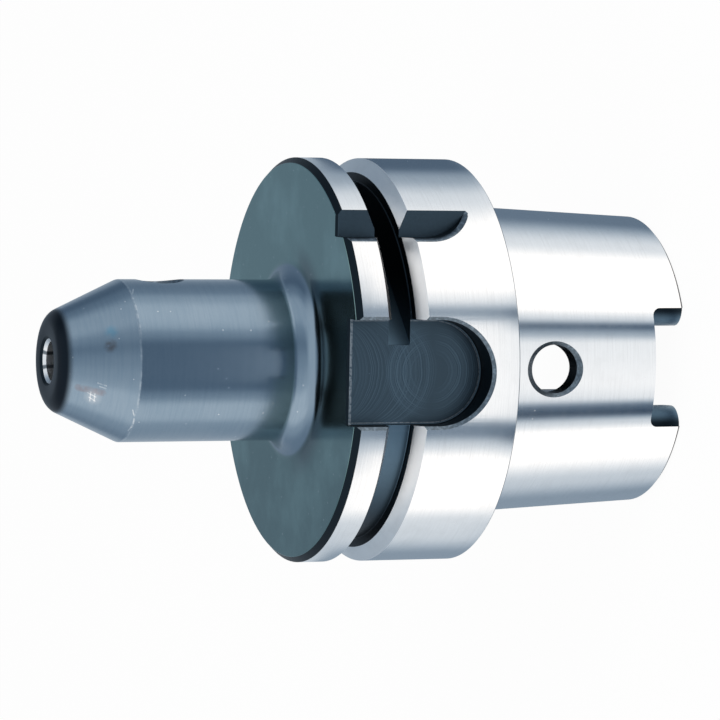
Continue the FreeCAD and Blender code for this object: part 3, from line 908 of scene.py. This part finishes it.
class HOLDER_OT_screw(bpy.types.Operator):
    """Make the threaded clamping screw with its hexagon socket."""
    bl_idname = "holder.make_screw"
    bl_label = "Clamping screw"

    def execute(self, context):
        sizes = context.scene.holder_sizes
        pitch = sizes.thread_pitch / MM
        depth = sizes.thread_depth / MM
        tip = screw_low.x / MM
        head = screw_high.x / MM
        radius = screw_high.y / MM
        steps, steps_per_mm = 64, 16
        tip_chamfer, head_chamfer = 0.8, 0.5
        stations = np.linspace(tip, head, int((head - tip) * steps_per_mm) + 1)
        angle = np.arange(steps) * 2 * math.pi / steps
        # The helix's phase is station / pitch + turn, without whole turns. The thread is whole
        # round half a phase and cut to its depth round 0, with straight flanks between.
        phase = (stations[:, None] / pitch + angle[None, :] / (2 * math.pi)) % 1.0
        groove = np.clip(np.abs(phase - 0.5) * 2.4 - 0.1, 0, 1)
        reach = radius - depth * groove
        chamfer = np.minimum(radius - tip_chamfer + (stations - tip),
                             radius - head_chamfer + (head - stations))
        reach = np.minimum(reach, chamfer[:, None])
        levels = np.stack([np.broadcast_to(stations[:, None], reach.shape),
                           reach * np.cos(angle), reach * np.sin(angle) + SCREW_HEIGHT], -1)
        mesh = stacked("screw_shell", levels, np.zeros(len(stations) - 1, int))
        piece = new_piece("screw_shell", mesh, [screw_material(context.scene.holder_colours)])
        socket_width, socket_depth = 3.0, 3.2
        socket = hex_outline(socket_width) + (0.0, SCREW_HEIGHT)
        cut(piece, [
            prism("socket", socket, head - socket_depth, head + 1.0, (1, 2, 0), 0),
            bored("socket_lead", [head - 0.25, head + 0.25], [1.5, 2.0], "x", [0],
                  SCREW_HEIGHT, 48),
        ])
        finished(piece, "clamping_screw", "side_lock_screw")
        return {"FINISHED"}


# Light levels that the metal sees, by the degrees that the light comes from, counted from the
# camera's side towards +X. A wall that mirrors it faces half of them. Soft boxes stand at both
# sides of the camera with a dark gap beside each. The floor shows one set to the taper, one to
# the rim and one to the nose, each further out.
TAPER_LEVELS = [(-139, 0.30), (-110, 0.58), (-81, 1.0), (-60, 1.0), (-51, 0.64), (-44, 0.05),
                (-38, 0.13), (-31, 0.78), (-20, 0.85), (12, 0.80), (19, 0.38), (25, 0.08),
                (31, 0.68), (39, 1.0), (82, 1.0), (99, 0.72), (139, 0.18)]
RIM_LEVELS = [(-148, 0.30), (-120, 0.64), (-105, 0.68), (-91, 1.0), (-58, 1.0), (-49, 0.62),
              (-43, 0.22), (-38, 0.22), (-32, 0.90), (18, 0.90), (26, 0.26), (34, 0.84),
              (41, 1.0), (74, 1.0), (105, 0.68), (125, 0.36), (143, 0.12)]
NOSE_LEVELS = [(-180, 0.58), (-120, 0.60), (-104, 0.66), (-88, 0.98), (-68, 0.98), (-52, 0.50),
               (-38, 0.27), (22, 0.26), (38, 0.52), (50, 0.90), (60, 1.0), (80, 1.0),
               (97, 0.74), (115, 0.42), (130, 0.36), (180, 0.50)]
# The walls above the floor, and the ceiling
WALL_LEVELS = [(-180, 0.34), (-140, 0.42), (-112, 0.64), (-92, 1.0), (-56, 1.0), (-40, 0.75),
               (-26, 0.66), (0, 0.52), (24, 0.38), (40, 0.50), (62, 0.74), (86, 0.70),
               (112, 0.36), (130, 0.22), (160, 0.30), (180, 0.34)]
CEILING = 0.8
# The floor's next set fades in over these distances past a round of the given radius
RIM_SET = (86.0, 89.0)
RIM_ROUND = 23.0
NOSE_SET = (156.0, 160.0)
NOSE_ROUND = 20.0
# The taper's radius about 20 mm behind the rear face
TAPER_MIDDLE = 23.3


def camera_frame(x, y):
    """Coordinates turned with the camera: towards it, and to its +X side."""
    toward = x * math.sin(CAMERA_TURN) - y * math.cos(CAMERA_TURN)
    aside = x * math.cos(CAMERA_TURN) + y * math.sin(CAMERA_TURN)
    return toward, aside


def mirrored_turn(toward, aside, distance):
    """Which way a turned surface on the axis faces where it mirrors this floor point to the
    camera. A wall of radius R facing the angle f throws its light t = sqrt(p^2 - (R sin f)^2)
    - R cos f along 2 f, and so to the angle f + atan(t sin f / (R + t cos f)). Three Newton
    steps find f. Returned with the shares of the rim and the nose."""
    around = aside.math("ARCTAN2", toward)
    facing = around * 0.6
    side = facing.math("COSINE")
    rim = (distance - side * RIM_ROUND).step(*RIM_SET)
    nose = (distance - side * NOSE_ROUND).step(*NOSE_SET)
    radius = TAPER_MIDDLE + rim * (FLANGE_RADIUS - TAPER_MIDDLE) \
        - nose * (FLANGE_RADIUS - NOSE_RADIUS)
    for attempt in range(3):
        sine = facing.math("SINE")
        cosine = facing.math("COSINE")
        across = radius * sine
        throw = (distance * distance - across * across).sqrt() - radius * cosine
        bend = (throw * sine).math("ARCTAN2", radius + throw * cosine)
        miss = facing + bend - around
        facing = facing - miss / (1.0 + throw / (radius + throw))
    return facing, rim, nose


def show_to_metal(graph, level):
    """The shares of camera rays and of mirrored or refracted rays, and the light to show: white
    to the camera, and the level in a cool tint to the others."""
    path = graph.add("ShaderNodeLightPath").socket.node
    camera = Value(graph, path.outputs["Is Camera Ray"])
    shiny = Value(graph, path.outputs["Is Glossy Ray"]) \
        + Value(graph, path.outputs["Is Transmission Ray"])
    cool = graph.combine(level ** 1.2, level, level ** 0.82)
    return camera, shiny.clamped(), graph.mix(camera, cool, graph.grey(1.0))


class HOLDER_OT_stage(bpy.types.Operator):
    """Make the pale floor, the room's light, the black card, the lamps and the camera."""
    bl_idname = "holder.make_stage"
    bl_label = "Stage"

    def execute(self, context):
        self.floor(context)
        self.room(context)
        self.card(context)
        self.lamps(context)
        self.camera(context)
        context.scene.view_settings.view_transform = "Standard"
        return {"FINISHED"}

    def floor(self, context):
        """A round pale floor under the shank's end."""
        steps = 96
        angle = np.arange(steps) * 2 * math.pi / steps
        reach = np.array([150.0, 2500.0])[:, None]
        points = np.stack([reach * np.cos(angle), reach * np.sin(angle),
                           np.full((2, steps), SHANK_END)], -1)
        inner = np.arange(steps).tolist()
        ring = grid_faces(2, steps, False).tolist()
        mesh = mesh_of("floor", points.reshape(-1, 3), ring + [inner])
        floor = bpy.data.objects.new("floor", mesh)
        context.scene.collection.objects.link(floor)
        material, graph = new_graph("floor_paper")
        x, y, z = graph.split(graph.point())
        toward, aside = camera_frame(x, y)
        facing, rim, nose = mirrored_turn(toward, aside, from_axis(x, y))
        around = facing / math.pi + 0.5
        level = graph.mix(rim, graph.ramp(around, TAPER_LEVELS),
                          graph.ramp(around, RIM_LEVELS))
        level = level * (level * level * 0.18 + 1.0)
        level = graph.mix(nose, level, graph.ramp(around, NOSE_LEVELS))
        camera, shiny, shown = show_to_metal(graph, level)
        paper = graph.add("ShaderNodeBsdfDiffuse", inputs={"Color": graph.grey(0.90)})
        glow = graph.add("ShaderNodeEmission", inputs={"Color": shown, "Strength": 1.0})
        share = (camera * 0.96 + shiny).clamped()
        surface = graph.add("ShaderNodeMixShader", inputs={0: share, 1: paper, 2: glow})
        graph.add("ShaderNodeOutputMaterial", inputs={"Surface": surface})
        mesh.materials.append(material)

    def room(self, context):
        """White for the camera, soft boxes and grey walls for the metal, plain light else."""
        world = bpy.data.worlds.new("room")
        world.use_nodes = True
        context.scene.world = world
        graph = Graph(world.node_tree)
        x, y, z = graph.split(graph.add("ShaderNodeTexCoord", output=0))
        toward, aside = camera_frame(x, y)
        turn = aside.math("ARCTAN2", toward)
        walls = graph.ramp(turn / (2 * math.pi) + 0.5, WALL_LEVELS)
        level = graph.mix(z.step(0.68, 0.90), walls, graph.grey(CEILING))
        camera, shiny, shown = show_to_metal(graph, level)
        plain = graph.mix((camera + shiny).clamped(), graph.grey(0.55), shown)
        background = graph.add("ShaderNodeBackground", inputs={"Color": plain, "Strength": 1.0})
        graph.add("ShaderNodeOutputWorld", inputs={"Surface": background})

    def card(self, context):
        """A bowed black card in front of the flange. Only light that was mirrored twice sees
        it: it keeps the flange's front dark where that mirrors the nose. It is a strip of a
        cylinder round the axis: x = r sin a, y = -r cos a."""
        lower, upper = 56.0, 300.0
        reach, half_turn = 100.0, 1.95
        count = 49
        turn = CAMERA_TURN + np.linspace(-half_turn, half_turn, count)
        edge = np.stack([reach * np.sin(turn), -reach * np.cos(turn)], -1)
        points = np.concatenate([np.column_stack([edge, np.full(count, height)])
                                 for height in (lower, upper)])
        first = np.arange(count - 1)
        faces = np.stack([first, first + 1, first + count + 1, first + count], -1)
        mesh = mesh_of("black_card", points, faces.tolist())
        material, graph = new_graph("black_card")
        path = graph.add("ShaderNodeLightPath").socket.node
        twice = Value(graph, path.outputs["Glossy Depth"]) > 1.5
        clear = graph.add("ShaderNodeBsdfTransparent")
        black = graph.add("ShaderNodeBsdfDiffuse", inputs={"Color": graph.grey(0.01)})
        surface = graph.add("ShaderNodeMixShader", inputs={0: twice, 1: clear, 2: black})
        graph.add("ShaderNodeOutputMaterial", inputs={"Surface": surface})
        mesh.materials.append(material)
        card = bpy.data.objects.new("black_card", mesh)
        context.scene.collection.objects.link(card)
        card.visible_camera = False
        card.visible_diffuse = False
        card.visible_shadow = False

    def lamps(self, context):
        """Two soft area lamps, one on each side of the camera, for the shadow and the dull parts.
        The metal mirrors the room instead of them."""
        for name, place, size, watts in (
                ("key_lamp", Vector((550, -550, 450)), 500, 3.0),
                ("fill_lamp", Vector((-650, -450, 350)), 600, 2.0)):
            lamp = bpy.data.lights.new(name, "AREA")
            lamp.shape = "DISK"
            lamp.size = size * MM
            lamp.energy = watts
            stand = bpy.data.objects.new(name, lamp)
            context.scene.collection.objects.link(stand)
            stand.location = place * MM
            stand.visible_glossy = False
            away = place - Vector((0, 0, 10))
            stand.rotation_euler = away.to_track_quat("Z", "Y").to_euler()

    def camera(self, context):
        """The photograph's view: a long lens, raised above the part and rolled a quarter turn."""
        lens = bpy.data.cameras.new("camera")
        lens.sensor_width = SENSOR_WIDTH
        lens.lens = FOCAL_LENGTH
        lens.clip_start = 10 * MM
        camera = bpy.data.objects.new("camera", lens)
        context.scene.collection.objects.link(camera)
        across = math.cos(CAMERA_RISE)
        back = Vector((math.sin(CAMERA_TURN) * across, -math.cos(CAMERA_TURN) * across,
                       math.sin(CAMERA_RISE)))
        place = (CAMERA_TARGET + back * CAMERA_DISTANCE) * MM
        facing = back.to_track_quat("Z", "Y") @ Quaternion((0, 0, 1), CAMERA_ROLL)
        camera.matrix_world = Matrix.LocRotScale(place, facing, None)
        context.scene.camera = camera


class HOLDER_PT_panel(bpy.types.Panel):
    """Sizes, colours and the steps that make the holder."""
    bl_idname = "HOLDER_PT_panel"
    bl_label = "End mill holder"
    bl_space_type = "VIEW_3D"
    bl_region_type = "UI"
    bl_category = "Holder"

    def draw(self, context):
        layout = self.layout
        for group in (context.scene.holder_sizes, context.scene.holder_colours):
            for name in group.__annotations__:
                layout.prop(group, name)
        for operator in STEPS:
            layout.operator(operator.bl_idname)


STEPS = (HOLDER_OT_body, HOLDER_OT_screw, HOLDER_OT_stage)
CLASSES = (HolderSizes, HolderColours) + STEPS + (HOLDER_PT_panel,)


def register():
    for item in CLASSES:
        bpy.utils.register_class(item)
    bpy.types.Scene.holder_sizes = PointerProperty(type=HolderSizes)
    bpy.types.Scene.holder_colours = PointerProperty(type=HolderColours)


def unregister():
    del bpy.types.Scene.holder_colours
    del bpy.types.Scene.holder_sizes
    for item in reversed(CLASSES):
        bpy.utils.unregister_class(item)


def main():
    register()
    bpy.ops.holder.make_body()
    bpy.ops.holder.make_screw()
    bpy.ops.holder.make_stage()


if __name__ == "__main__":
    main()
